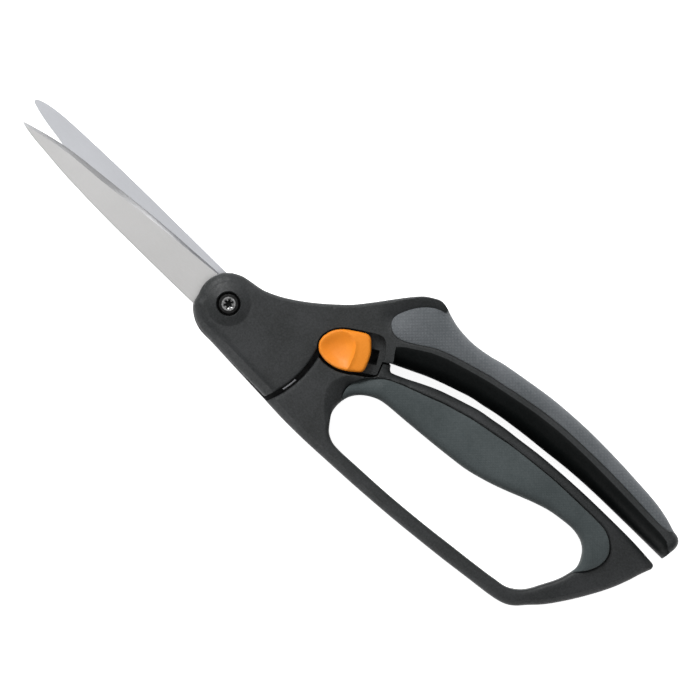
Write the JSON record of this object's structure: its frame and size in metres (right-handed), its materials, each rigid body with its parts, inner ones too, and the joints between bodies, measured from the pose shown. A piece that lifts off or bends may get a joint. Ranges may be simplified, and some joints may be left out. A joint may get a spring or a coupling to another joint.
{
  "type": "grass shears",
  "caption": "One-handed grass shears with long straight blades, a closed finger loop, a padded palm handle and a sliding lock button at the pivot.",
  "frame": {"origin": "middle of the box that the shears fill, on the surface they lie on with the screw head up", "axes": "+X from the blade tips to the tail of the handles, +Y from the finger loop to the palm handle, +Z from the back to the side with the screw head and lock button"},
  "size_m": [0.2572, 0.068, 0.0203],
  "materials": {
    "handle_plastic": "fine moulded grain",
    "loop_rubber": "soft matt",
    "palm_rubber": "soft matt with a fine grid",
    "blade_steel": "ground",
    "screw_steel": "turned",
    "dark_steel": "blackened",
    "button_plastic": "satin moulded"
  },
  "bodies": {
    "loop_half": {"loop_handle": "handle_plastic", "loop_grip": "loop_rubber", "back_blade": "blade_steel", "pivot_screw": "screw_steel", "pivot_nut": "screw_steel", "pivot_bush": "dark_steel", "spring_washer": "dark_steel", "return_spring": "dark_steel"},
    "palm_half": {"palm_handle": "handle_plastic", "palm_grip": "palm_rubber", "front_blade": "blade_steel", "detent_spring": "screw_steel", "lock_cover": "handle_plastic"},
    "lock": {"lock_button": "button_plastic", "lock_slider": "handle_plastic", "lock_screw": "screw_steel"}
  },
  "joints": [
    {"name": "blade_pivot", "type": "hinge", "parent": "loop_half", "child": "palm_half", "pos_m": [-0.03515, -0.01855, 0.0095], "axis": [0, 0, 1], "range_deg": [-0.5, 24], "deforming": ["return_spring"]},
    {"name": "lock_slide", "type": "slide", "parent": "palm_half", "child": "lock", "axis": [0.8616, 0.5075, 0], "range_m": [0, 0.0044]}
  ]
}
